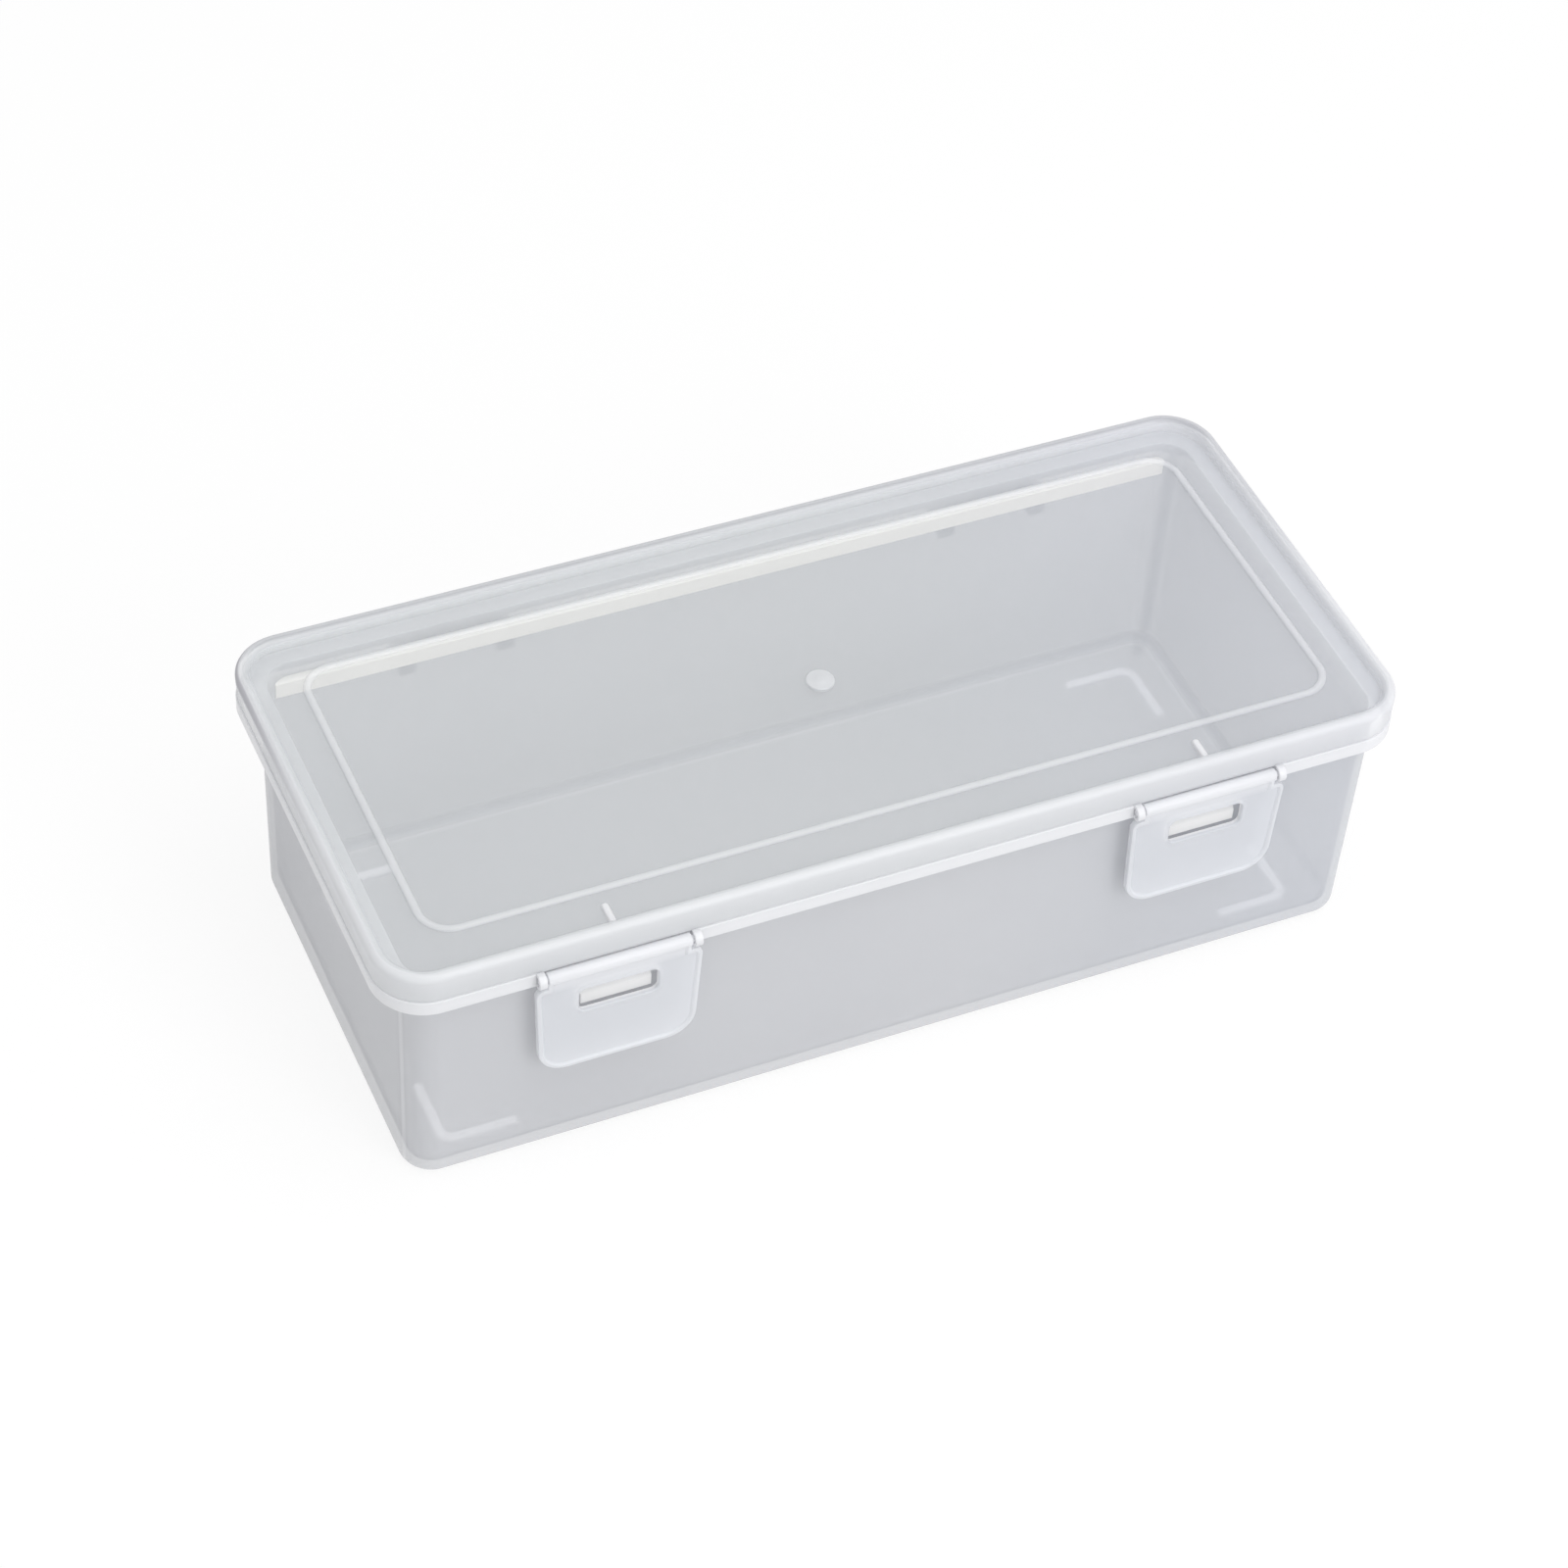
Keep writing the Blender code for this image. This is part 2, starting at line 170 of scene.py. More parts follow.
def roundedBox(halfU, halfV, radius, steps, middleU=0, middleV=0):
    signs = ((1, 1), (-1, 1), (-1, -1), (1, -1))
    return roundedLoop([(middleU + u * halfU, middleV + v * halfV, radius) for u, v in signs], steps)


def roundLoop(centreU, centreV, radius, sides):
    angles = [math.tau * side / sides for side in range(sides)]
    return [(centreU + radius * math.cos(angle), centreV + radius * math.sin(angle))
            for angle in angles]


def softPath(corners, steps):
    # an open line of (inset, height, radius, density), its corners rounded and its flats kept flat
    path = [corners[0][:2] + corners[0][3:]]
    for index in range(1, len(corners) - 1):
        u, v, radius, density = corners[index]
        here = Vector((u, v))
        toBack = Vector(corners[index - 1][:2]) - here
        toForth = Vector(corners[index + 1][:2]) - here
        back = toBack.normalized()
        forth = toForth.normalized()
        half = back.angle(forth) / 2
        reach = radius / math.tan(half)
        centre = here + (back + forth).normalized() * radius / math.sin(half)
        start = here + back * reach - centre
        end = here + forth * reach - centre
        turn = start.angle_signed(end)
        support = reach * supportShare
        if support < toBack.length / 2:
            spot = here + back * support
            path.append((spot.x, spot.y, density))
        for step in range(steps + 1):
            spot = centre + Matrix.Rotation(-turn * step / steps, 2) @ start
            path.append((spot.x, spot.y, density))
        if support < toForth.length / 2:
            spot = here + forth * support
            path.append((spot.x, spot.y, density))
    path.append(corners[-1][:2] + corners[-1][3:])
    return path


def meshPiece(name, shape, material):
    # takes a bmesh in millimetres
    bmesh.ops.recalc_face_normals(shape, faces=shape.faces)
    bmesh.ops.scale(shape, vec=(mm, mm, mm), verts=shape.verts)
    mesh = bpy.data.meshes.new(name)
    shape.to_mesh(mesh)
    shape.free()
    mesh.shade_smooth()
    mesh.set_sharp_from_angle(angle=sharpAngle)
    piece = bpy.data.objects.new(name, mesh)
    bpy.context.scene.collection.objects.link(piece)
    mesh.materials.append(material)
    return piece


def loftShape(rings, along, closed=False):
    # rings: (loop, level, density) with equal counts; closed joins the last ring to the first
    shape = bmesh.new()
    dense = shape.verts.layers.float.new("dense")
    loops = []
    for loop, level, density in rings:
        made = []
        for u, v in loop:
            spot = {"X": (level, u, v), "Y": (u, level, v), "Z": (u, v, level)}[along]
            vertex = shape.verts.new(spot)
            vertex[dense] = density
            made.append(vertex)
        loops.append(made)
    pairs = list(zip(loops, loops[1:]))
    if closed:
        pairs.append((loops[-1], loops[0]))
    else:
        shape.faces.new(loops[0])
        shape.faces.new(loops[-1])
    for near, far in pairs:
        for index in range(len(near)):
            shape.faces.new((near[index - 1], near[index], far[index], far[index - 1]))
    return shape


def softBlock(outline, low, high, along, soft, density):
    # a straight block whose sharp edges are rounded
    shape = loftShape([(outline, low, density), (outline, high, density)], along)
    bmesh.ops.recalc_face_normals(shape, faces=shape.faces)
    sharp = [edge for edge in shape.edges if edge.calc_face_angle() > sharpAngle]
    bmesh.ops.bevel(shape, geom=sharp, offset=soft, **blockBevel)
    dense = shape.verts.layers.float["dense"]
    for vertex in shape.verts:
        vertex[dense] = density
    return shape


def thinAbove(shape, level, density):
    # the block's top, where it runs out into the wall
    dense = shape.verts.layers.float["dense"]
    for vertex in shape.verts:
        if vertex.co.z > level:
            vertex[dense] = density


def turnedShape(centre, profile, along, sides, density):
    # profile: (radius, level) from one closed end to the other
    rings = [(roundLoop(*centre, radius, sides), level, density) for radius, level in profile]
    return loftShape(rings, along)


def carve(piece, cuts):
    # cuts: (outline, low, high) of straight holes along X through a finished piece
    whole = piece.data
    cutters = []
    for outline, low, high in cuts:
        shape = loftShape([(outline, low, 0), (outline, high, 0)], "X")
        cutter = meshPiece("cutter", shape, whole.materials[0])
        step = piece.modifiers.new("hole", "BOOLEAN")
        step.operation = "DIFFERENCE"
        step.solver = "EXACT"
        step.object = cutter
        cutters.append(cutter)
    bpy.context.view_layer.update()
    finished = piece.evaluated_get(bpy.context.evaluated_depsgraph_get())
    carved = bpy.data.meshes.new_from_object(finished)
    carved.set_sharp_from_angle(angle=sharpAngle)
    piece.modifiers.clear()
    piece.data = carved
    for cutter in cutters:
        bpy.data.objects.remove(cutter)
    # every corner takes its thickness value from the nearest place on the uncut piece
    places = [vertex.co for vertex in whole.vertices]
    surface = BVHTree.FromPolygons(places, [face.vertices for face in whole.polygons])
    wholeDense = whole.attributes["dense"].data
    carvedDense = carved.attributes["dense"].data
    for vertex in carved.vertices:
        spot, _, face, _ = surface.find_nearest(vertex.co)
        corners = whole.polygons[face].vertices
        shares = poly_3d_calc([places[corner] for corner in corners], spot)
        value = sum(share * wholeDense[corner].value for share, corner in zip(shares, corners))
        carvedDense[vertex.index].value = value


# Plastic

trayPlastic = {
    "name": "milkyTrayPlastic",
    "thinColour": solidColour(0.54, 0.55, 0.58),
    "thickColour": solidColour(0.88, 0.88, 0.89),
    "coolColour": solidColour(0.51, 0.53, 0.58),
    "shadeColour": solidColour(0.42, 0.43, 0.46),
    "thinAlpha": 0.46,
    "thickAlpha": 0.78,
    "paintedGlow": 0.25,
    "roughness": 0.34,
    "cloudSize": 42,
    "cloudStrength": 0.03,
}
# the rail's cream colour and glow are painted warm light
railPlastic = {
    "name": "warmLitRailPlastic",
    "thinColour": solidColour(0.72, 0.71, 0.69),
    "thickColour": solidColour(0.80, 0.785, 0.75),
    "coolColour": solidColour(0.72, 0.71, 0.70),
    "shadeColour": solidColour(0.60, 0.59, 0.57),
    "thinAlpha": 0.85,
    "thickAlpha": 0.93,
    "paintedGlow": 0.34,
    "roughness": 0.36,
    "cloudSize": 12,
    "cloudStrength": 0.1,
}
catchPlastic = {
    "name": "milkyCatchPlastic",
    "thinColour": solidColour(0.50, 0.50, 0.51),
    "thickColour": solidColour(0.62, 0.62, 0.625),
    "coolColour": solidColour(0.49, 0.50, 0.52),
    "shadeColour": solidColour(0.40, 0.40, 0.41),
    "thinAlpha": 0.70,
    "thickAlpha": 0.88,
    "paintedGlow": 0.22,
    "roughness": 0.36,
    "cloudSize": 8,
    "cloudStrength": 0.06,
}
lidPlastic = {
    "name": "clearLidPlastic",
    "thinColour": solidColour(0.66, 0.69, 0.71),
    "thickColour": solidColour(0.71, 0.71, 0.73),
    "coolColour": solidColour(0.68, 0.70, 0.75),
    "shadeColour": solidColour(0.38, 0.38, 0.41),
    "thinAlpha": 0.21,
    "thickAlpha": 0.88,
    "paintedGlow": 0.12,
    "roughness": 0.30,
    "cloudSize": 48,
    "cloudStrength": 0.03,
}
latchPlastic = {
    "name": "milkyLatchPlastic",
    "thinColour": solidColour(0.71, 0.73, 0.77),
    "thickColour": solidColour(0.70, 0.70, 0.715),
    "coolColour": solidColour(0.67, 0.69, 0.74),
    "shadeColour": solidColour(0.55, 0.56, 0.58),
    "thinAlpha": 0.53,
    "thickAlpha": 0.84,
    "paintedGlow": 0.22,
    "roughness": 0.34,
    "cloudSize": 30,
    "cloudStrength": 0.03,
}
frost = {
    "grainSize": 0.5,
    "grainDetail": 3,
    "grainDepth": 0.004,
    "grainStrength": 0.5,
    "roughClouds": 0.08,
    "roughCloudShare": 4,  # how many times finer than the clouds of thickness
    "shadeRoughness": 0.6,
    "refraction": 1.49,
}


def outsideOf(place, halfX, halfY, corner, forward=0):
    # how far outside an upright wall with rounded corners a place lies; it is under 0 inside
    x = (abs(place.axis("X")) - (halfX - corner) * mm).larger(0)
    y = (abs(place.axis("Y") + forward * mm) - (halfY - corner) * mm).larger(0)
    return (x * x + y * y).root() - corner * mm


def frostedPlastic(look, thickerAndLitAt=None, darkerAt=None):
    # the vertex value dense tells where the wall is thick, which makes it whiter and less clear and gives
    # it painted glow;
    # under 0 it paints shade into the colour, as along a tight bend
    material = bpy.data.materials.new(look["name"])
    material.use_nodes = True
    shader = material.node_tree.nodes["Principled BSDF"]
    first = Wire(material.node_tree)
    place = first.node("ShaderNodeTexCoord", output="Object")
    dense = first.node("ShaderNodeAttribute", {"attribute_name": "dense"}, output="Fac")
    shade = (0 - dense).larger(0)
    if thickerAndLitAt:
        dense = dense.larger(thickerAndLitAt(place))
    if darkerAt:
        shade = shade.larger(darkerAt(place))
    cloud = noiseAt(place, look["cloudSize"]) - 0.5
    dense = (dense + cloud * look["cloudStrength"] * 2).larger(0)
    # painted light: everything towards the right end is tinted cooler
    cool = place.axis("X").above(lidHigh.x * mm / 2, lidHigh.x * mm)
    thin = cool.blend(look["thinColour"], look["coolColour"])
    colour = shade.blend(dense.blend(thin, look["thickColour"]), look["shadeColour"])
    clear = look["thinAlpha"]
    alpha = clear + (look["thickAlpha"] - clear) * dense + (1 - clear) * shade
    # painted glow: where the wall is thick it gives off light of its own, standing in for light scattered
    # through it from behind
    sockets = {0: look["thickColour"][:3], "Scale": dense}
    paintedGlowColour = place.node("ShaderNodeVectorMath", {"operation": "SCALE"}, sockets)
    grain = noiseAt(place, frost["grainSize"], frost["grainDetail"])
    depth = frost["grainDepth"] * mm
    sockets = {"Height": grain, "Distance": depth, "Strength": frost["grainStrength"]}
    bump = place.node("ShaderNodeBump", None, sockets)
    clouds = noiseAt(place, look["cloudSize"] / frost["roughCloudShare"])
    rough = look["roughness"] + frost["roughClouds"] * clouds + frost["shadeRoughness"] * shade
    tree = material.node_tree
    tree.links.new(colour.socket, shader.inputs["Base Color"])
    tree.links.new(alpha.socket, shader.inputs["Alpha"])
    tree.links.new(bump.socket, shader.inputs["Normal"])
    tree.links.new(rough.socket, shader.inputs["Roughness"])
    tree.links.new(paintedGlowColour.socket, shader.inputs["Emission Color"])
    shader.inputs["Emission Strength"].default_value = look["paintedGlow"]
    shader.inputs["IOR"].default_value = frost["refraction"]
    return material


# Lid

lidShape = {
    "skirtHeight": 8.3,
    "skirtWall": 1.1,
    "panelWall": 1.2,
    "rimCorner": 9.0,
    "rimRound": 1.1,
    "rimTopWidth": 0.6,
    "rimStep": 1.2,
    "bandHeight": 2.7,
    "grooveHeight": 0.5,
    "grooveDepth": 0.4,
    "edgeRound": 0.3,
    "beadFromEnd": 10.2,
    "beadFromSide": 9.8,
    "beadCorner": 5.2,
    "beadWidth": 1.5,
    "beadHeight": 0.5,
    "cornerSteps": 16,
    "edgeSteps": 5,
    "stepRound": 0.3,
    "bandRound": 0.15,
    "grooveRound": 0.1,
    "panelDensity": 0.0,
    "innerDensity": 0.1,
    "skirtDensity": 0.5,
    "bandDensity": 0.8,
    "edgeDensity": 0.6,
    "topDensity": 0.35,
    "rearEdgeShade": 1.0,
    "rearEdgeWidth": 0.6,
    "rearEdgeBlur": 0.5,
    "rearEdgeBelow": 0.8,
    "beadDensity": 0.5,
    "gateDensity": 0.55,
    "tickDensity": 0.9,
    "earDensity": 0.8,
    "barrelDensity": 0.6,
    "gateRadius": 2.4,
    "gateHeight": 0.3,
    "gateBevel": 0.1,
    "gateBevelShare": 0.9,
    "gateDraw": 0.25,
    "gateNubRadius": 0.8,
    "gateNubHeight": 0.4,
    "gateNubDraw": 0.2,
    "tickLength": 4.2,
    "tickWidth": 1.2,
    "tickHeight": 0.4,
    "tickDraw": 0.6,  # a share of its half width, and so is the corner
    "tickCorner": 0.9,
    "tickSteps": 6,
    "tickFromSide": 2.4,
    "latchEarThickness": 1.3,
    "latchEarFromSide": 0.4,
    "latchEarRadius": 1.4,
    "latchEarRound": 0.12,
    "latchHoleRadius": 0.9,
    "holeOverrun": 0.1,
    "roundSides": 40,
    "turningGap": 0.3,
    "notchGap": 0.08,
    "barrelLength": 14.0,
    "barrelRadius": 1.5,
    "barrelBevel": 0.15,
    "barrelSides": 32,
    "neckInset": 0.1,
    "neckRound": 0.1,
    "neckSteps": 2,
    "pinRadius": 0.8,
    "pinLength": 2.6,
    "hingeFromEnd": 40.0,
    "hingeEarRadius": 1.6,
    "hingeEarProud": 1.8,
}
rimX = lidHigh.x
rimY = trayHigh.y - lidShape["hingeEarProud"]
boxTop = lidHigh.z
skirtBottom = boxTop - lidShape["skirtHeight"]
panelTop = boxTop - lidShape["rimStep"]
panelUnder = panelTop - lidShape["panelWall"]
latchX = (latchLow.x + latchHigh.x) / 2
latchPivotY = (latchLow.y + latchHigh.y) / 2
latchPivotZ = latchHigh.z - (latchHigh.y - latchLow.y) / 2
hingeX = rimX - lidShape["hingeFromEnd"]
hingeY = trayHigh.y - lidShape["hingeEarRadius"]
hingeZ = lidLow.z + lidShape["barrelRadius"]


def rimLoop(inset):
    steps = lidShape["cornerSteps"]
    return roundedBox(rimX - inset, rimY - inset, lidShape["rimCorner"] - inset, steps)


def makeLidShell(material):
    s = lidShape
    bottom = skirtBottom
    grooveFoot = bottom + s["bandHeight"]
    grooveTop = grooveFoot + s["grooveHeight"]
    shoulder = s["rimRound"] + s["rimTopWidth"]
    rimUnder = panelUnder + s["rimStep"]
    rimLine = softPath([
        (shoulder + s["rimStep"] + flatRing, panelUnder, 0, s["panelDensity"]),
        (shoulder + s["rimStep"], panelUnder, s["stepRound"], s["panelDensity"]),
        (shoulder, rimUnder, s["stepRound"], s["panelDensity"]),
        (s["skirtWall"], rimUnder, s["edgeRound"], s["innerDensity"]),
        (s["skirtWall"], bottom, s["edgeRound"], s["bandDensity"]),
        (0, bottom, s["edgeRound"], s["bandDensity"]),
        (0, grooveFoot, s["bandRound"], s["bandDensity"]),
        (s["grooveDepth"], grooveFoot + s["grooveRound"], s["grooveRound"], s["skirtDensity"]),
        (s["grooveDepth"] / 2, grooveTop, s["grooveRound"], s["skirtDensity"]),
        (0, boxTop, s["rimRound"], s["edgeDensity"]),
        (shoulder, boxTop, s["stepRound"], s["topDensity"]),
        (shoulder + s["rimStep"], panelTop, s["stepRound"], s["panelDensity"]),
        (shoulder + s["rimStep"] + flatRing, panelTop, 0, s["panelDensity"]),
    ], s["edgeSteps"])
    rings = [(rimLoop(inset), level, density) for inset, level, density in rimLine]
    beadX = rimX - s["beadFromEnd"]
    beadY = rimY - s["beadFromSide"]
    half = s["beadWidth"] / 2
    for step in range(-1, 2 * s["edgeSteps"] + 2):
        share = min(max(step / (2 * s["edgeSteps"]), 0), 1)
        offset = half * math.cos(math.pi * share)
        if step != share * 2 * s["edgeSteps"]:
            offset += math.copysign(s["edgeRound"], offset)
        rise = math.sin(math.pi * share)
        loop = roundedBox(beadX + offset, beadY + offset, s["beadCorner"] + offset, s["cornerSteps"])
        density = s["panelDensity"] + (s["beadDensity"] - s["panelDensity"]) * rise
        rings.append((loop, panelTop + s["beadHeight"] * rise, density))
    shell = meshPiece("lidShell", loftShape(rings, "Z"), material)
    # each latch's barrel lies in a notch of the skirt, and its pins in holes beside the notch
    notchTop = latchPivotZ + latchShape["barrelRadius"] + s["notchGap"]
    outside = -rimY - cutOverrun
    inside = s["skirtWall"] - rimY + cutOverrun
    under = bottom - cutOverrun
    notch = [(outside, under), (inside, under), (inside, notchTop), (outside, notchTop)]
    hole = roundLoop(latchPivotY, latchPivotZ, s["latchHoleRadius"], holeSides)
    cuts = []
    for middle in (-latchX, latchX):
        cuts.append((notch, middle - earStart, middle + earStart))
        for side in (-1, 1):
            start = earStart - s["holeOverrun"]
            low, high = sorted((middle + side * start, middle + side * earEnd))
            cuts.append((hole, low, high))
    carve(shell, cuts)
    return shell


def makeLidMarks(material):
    s = lidShape
    under = panelTop - overlap
    disc = s["gateRadius"]
    nub = s["gateNubRadius"]
    profile = [
        (disc, under),
        (disc, panelTop + s["gateHeight"] / 2),
        (disc - s["gateBevel"], panelTop + s["gateHeight"] * s["gateBevelShare"]),
        (disc - s["gateDraw"], panelTop + s["gateHeight"]),
        (nub + s["gateNubDraw"], panelTop + s["gateHeight"]),
        (nub, panelTop + s["gateNubHeight"]),
        (nub / 2, panelTop + s["gateNubHeight"]),
    ]
    shape = turnedShape((0, 0), profile, "Z", s["roundSides"], s["gateDensity"])
    marks = [meshPiece("lidGateMark", shape, material)]
    halfLong = s["tickLength"] / 2
    halfWide = s["tickWidth"] / 2
    for sideName, middle in (("Left", -latchX), ("Right", latchX)):
        rings = []
        for step in range(s["edgeSteps"] + 1):
            angle = math.pi / 2 * step / s["edgeSteps"]
            draw = halfWide * s["tickDraw"] * (1 - math.cos(angle))
            tickY = s["tickFromSide"] + halfLong - rimY
            corner = halfWide * s["tickCorner"] - draw
            loop = roundedBox(halfWide - draw, halfLong - draw, corner, s["tickSteps"], middle, tickY)
            rings.append((loop, panelTop + s["tickHeight"] * math.sin(angle), s["tickDensity"]))
        rings.insert(0, (rings[0][0], under, s["tickDensity"]))
        marks.append(meshPiece("lidTick" + sideName, loftShape(rings, "Z"), material))
    return marks


def paintedRearEdgeShade(place):
    # painted shade: the rim's outer edge is darkened more and more towards the hinge
    s = lidShape
    outer = outsideOf(place, rimX, rimY, s["rimCorner"])
    line = outer.above(-s["rearEdgeWidth"] * mm, s["rearEdgeBlur"] * mm)
    y = place.axis("Y").above(rimY * rearFrom * mm, rimY * rearBlur * mm)
    z = place.axis("Z").above((boxTop - s["rimRound"] - s["rearEdgeBelow"]) * mm, mm)
    return line * y * z * s["rearEdgeShade"]


def makeLatchEars(material):
    # round bosses on the skirt's outside, at both ends of each notch
    s = lidShape
    ears = []
    outline = roundLoop(latchPivotY, latchPivotZ, s["latchEarRadius"], s["roundSides"])
    hole = roundLoop(latchPivotY, latchPivotZ, s["latchHoleRadius"], holeSides)
    for sideName, middle in (("Left", -latchX), ("Right", latchX)):
        for endName, side in (("Near", -1), ("Far", 1)):
            low, high = sorted((middle + side * earStart, middle + side * earEnd))
            shape = softBlock(outline, low, high, "X", s["latchEarRound"], s["earDensity"])
            ear = meshPiece("lidLatchEar" + sideName + endName, shape, material)
            carve(ear, [(hole, low - cutOverrun, high + cutOverrun)])
            ears.append(ear)
    return ears


def makeLidBarrels(material):
    s = lidShape
    pieces = []
    half = s["barrelLength"] / 2
    for sideName, middle in (("Left", -hingeX), ("Right", hingeX)):
        profile = []
        for side in (-1, 1):
            end = [
                (s["pinRadius"] - s["barrelBevel"], half + s["pinLength"]),
                (s["pinRadius"], half + s["pinLength"] - s["barrelBevel"]),
                (s["pinRadius"], half),
                (s["barrelRadius"] - s["barrelBevel"], half),
                (s["barrelRadius"], half - s["barrelBevel"]),
            ]
            levels = [(radius, middle + side * reach) for radius, reach in end]
            profile += levels if side < 0 else levels[::-1]
        shape = turnedShape((hingeY, hingeZ), profile, "X", s["barrelSides"], s["barrelDensity"])
        pieces.append(meshPiece("lidHingeBarrel" + sideName, shape, material))
        neckIn = rimY - s["skirtWall"] + s["neckInset"]
        neckOut = rimY - s["neckInset"]
        neck = [
            (neckIn, hingeZ, hiddenRound),
            (hingeY, hingeZ, hiddenRound),
            (neckOut, skirtBottom + s["bandHeight"] / 2, hiddenRound),
            (neckIn, skirtBottom + s["bandHeight"] / 2, hiddenRound),
        ]
        outline = roundedLoop(neck, s["neckSteps"])
        low, high = middle - half, middle + half
        shape = softBlock(outline, low, high, "X", s["neckRound"], s["barrelDensity"])
        pieces.append(meshPiece("lidHingeNeck" + sideName, shape, material))
    return pieces


# Tray

trayShape = {
    "fromEnd": 3.7,
    "fromSide": 2.9,
    "forward": 0.85,
    "lean": 0.5,
    "wall": 1.2,
    "floor": 1.2,
    "outerRound": 2.2,
    "innerRound": 1.8,
    "lipHeight": 1.3,
    "lipRound": 0.25,
    "lipSteps": 3,
    "lipSlope": 1.1,
    "lipClearance": 0.7,
    "seatClearance": 0.3,
    "railBelowLip": 3.1,
    "railHeight": 4.5,
    "railDepth": 0.8,
    "railFromEnd": 2.6,
    "railRound": 0.3,
    "railEndRound": 0.25,
    "railSteps": 4,
    "footHeight": 0.6,
    "footArm": 12.0,
    "footWidth": 1.6,
    "footCorner": 3.0,
    "footTip": 0.9,  # a share of half its width
    "footRound": 0.25,
    "footBevel": 0.07,
    "footSteps": 6,
    "footBlur": 0.5,
    "floorBlur": 0.4,
    "footFromEnd": 8.0,
    "footFromSide": 7.2,
    "footForward": 0.8,
    "earThickness": 3.0,
    "earHoleRadius": 1.1,
    "earSlantRound": 0.3,
    "earRoundShare": 0.95,
    "earEndRound": 0.15,
    "earSteps": 8,
    "catchWidth": 12.0,
    "catchNoseHeight": 2.1,
    "catchBelowWindowTop": 0.3,
    "catchToSill": 0.1,
    "catchToTab": 0.3,
    "catchFootRound": 0.2,
    "catchNoseRound": 0.3,
    "catchEndRound": 0.2,
    "catchFade": 0.5,
    "catchSteps": 4,
    "frontStripe": 0.6,
    "frontStripeSlope": 0.35,
    "rearStripe": 1.5,
    "rearStripeBlur": 2.0,
    "endInset": 1.0,
    "wallDensity": 0.12,
    "floorDensity": 0.0,
    "bendShade": -0.45,
    "lipDensity": 0.5,
    "footDensityAndGlow": 1.3,
    "overRearFootDensityAndGlow": 2.2,
    "overFrontFootDensityAndGlow": 4.2,
    "frontCornerHighlight": 0.3,
    "cornerShade": 0.2,
    "endShade": 0.15,
    "railDensity": 1.0,
    "railTopDensity": 0.2,
    "catchDensity": 1.0,
    "catchTopDensity": 0.1,
    "catchRootDensityAndLight": 0.6,
    "earDensity": 0.5,
}
trayX = rimX - trayShape["fromEnd"]
trayY = rimY - trayShape["fromSide"]
trayCorner = lidShape["rimCorner"] - trayShape["fromSide"]
lipTop = panelUnder - trayShape["seatClearance"]
floorUnder = trayShape["footHeight"]
floorTop = floorUnder + trayShape["floor"]
footX = trayX - trayShape["lean"] - trayShape["footFromEnd"]
footY = trayY - trayShape["lean"] - trayShape["footFromSide"]
footForward = trayShape["forward"] + trayShape["footForward"]


def leanAt(level):
    return trayShape["lean"] * (1 - min((level - floorUnder) / (skirtBottom - floorUnder), 1))


def trayLoop(inset, level):
    inset += leanAt(level)
    steps = lidShape["cornerSteps"]
    return roundedBox(trayX - inset, trayY - inset, trayCorner - inset, steps, 0, -trayShape["forward"])


def trayWallY(side, inset, level):
    # the rear wall (side 1) or the front wall (side -1), this far in from its outer face
    return side * (trayY - inset - leanAt(level)) - trayShape["forward"]


def makeTrayShell(material):
    s = trayShape
    steps = 2 * lidShape["edgeSteps"]
    lipInset = lidShape["skirtWall"] + s["lipClearance"]
    lipFoot = lipTop - s["lipHeight"]
    wall = s["wallDensity"]
    lip = s["lipDensity"]
    rings = [(trayLoop(s["outerRound"] + flatRing, floorUnder), floorUnder, s["floorDensity"])]
    for step in range(steps + 1):
        angle = math.pi / 2 * step / steps
        level = floorUnder + s["outerRound"] * (1 - math.cos(angle))
        rings.append((trayLoop(s["outerRound"] * (1 - math.sin(angle)), level), level, wall))
    overBend = floorUnder + s["outerRound"] + flatRing
    for level in (overBend, skirtBottom - flatRing, skirtBottom, lipFoot - s["lipSlope"]):
        rings.append((trayLoop(0, level), level, wall))
    rings.append((rimLoop(lipInset), lipFoot, lip))
    rings.append((rimLoop(lipInset), lipTop - s["lipRound"], lip))
    for step in range(1, s["lipSteps"] + 1):
        angle = math.pi / 2 * step / s["lipSteps"]
        inset = lipInset + s["lipRound"] * (1 - math.cos(angle))
        rings.append((rimLoop(inset), lipTop - s["lipRound"] * (1 - math.sin(angle)), lip))
    for step in range(s["lipSteps"] + 1):
        angle = math.pi / 2 * step / s["lipSteps"]
        inset = s["wall"] - s["lipRound"] * (1 - math.sin(angle))
        level = lipTop - s["lipRound"] * (1 - math.cos(angle))
        rings.append((trayLoop(inset, level), level, lip))
    for level in (skirtBottom, floorTop + s["innerRound"] + flatRing):
        rings.append((trayLoop(s["wall"], level), level, wall))
    for step in range(steps + 1):
        angle = math.pi / 2 * step / steps
        level = floorTop + s["innerRound"] * (1 - math.sin(angle))
        # painted shade along the inner bend between the walls and the floor
        density = wall + (s["bendShade"] - wall) * math.sin(2 * angle)
        loop = trayLoop(s["wall"] + s["innerRound"] * (1 - math.cos(angle)), level)
        rings.append((loop, level, density))
    loop = trayLoop(s["wall"] + s["innerRound"] + flatRing, floorTop)
    rings.append((loop, floorTop, s["floorDensity"]))
    return meshPiece("trayShell", loftShape(rings, "Z"), material)


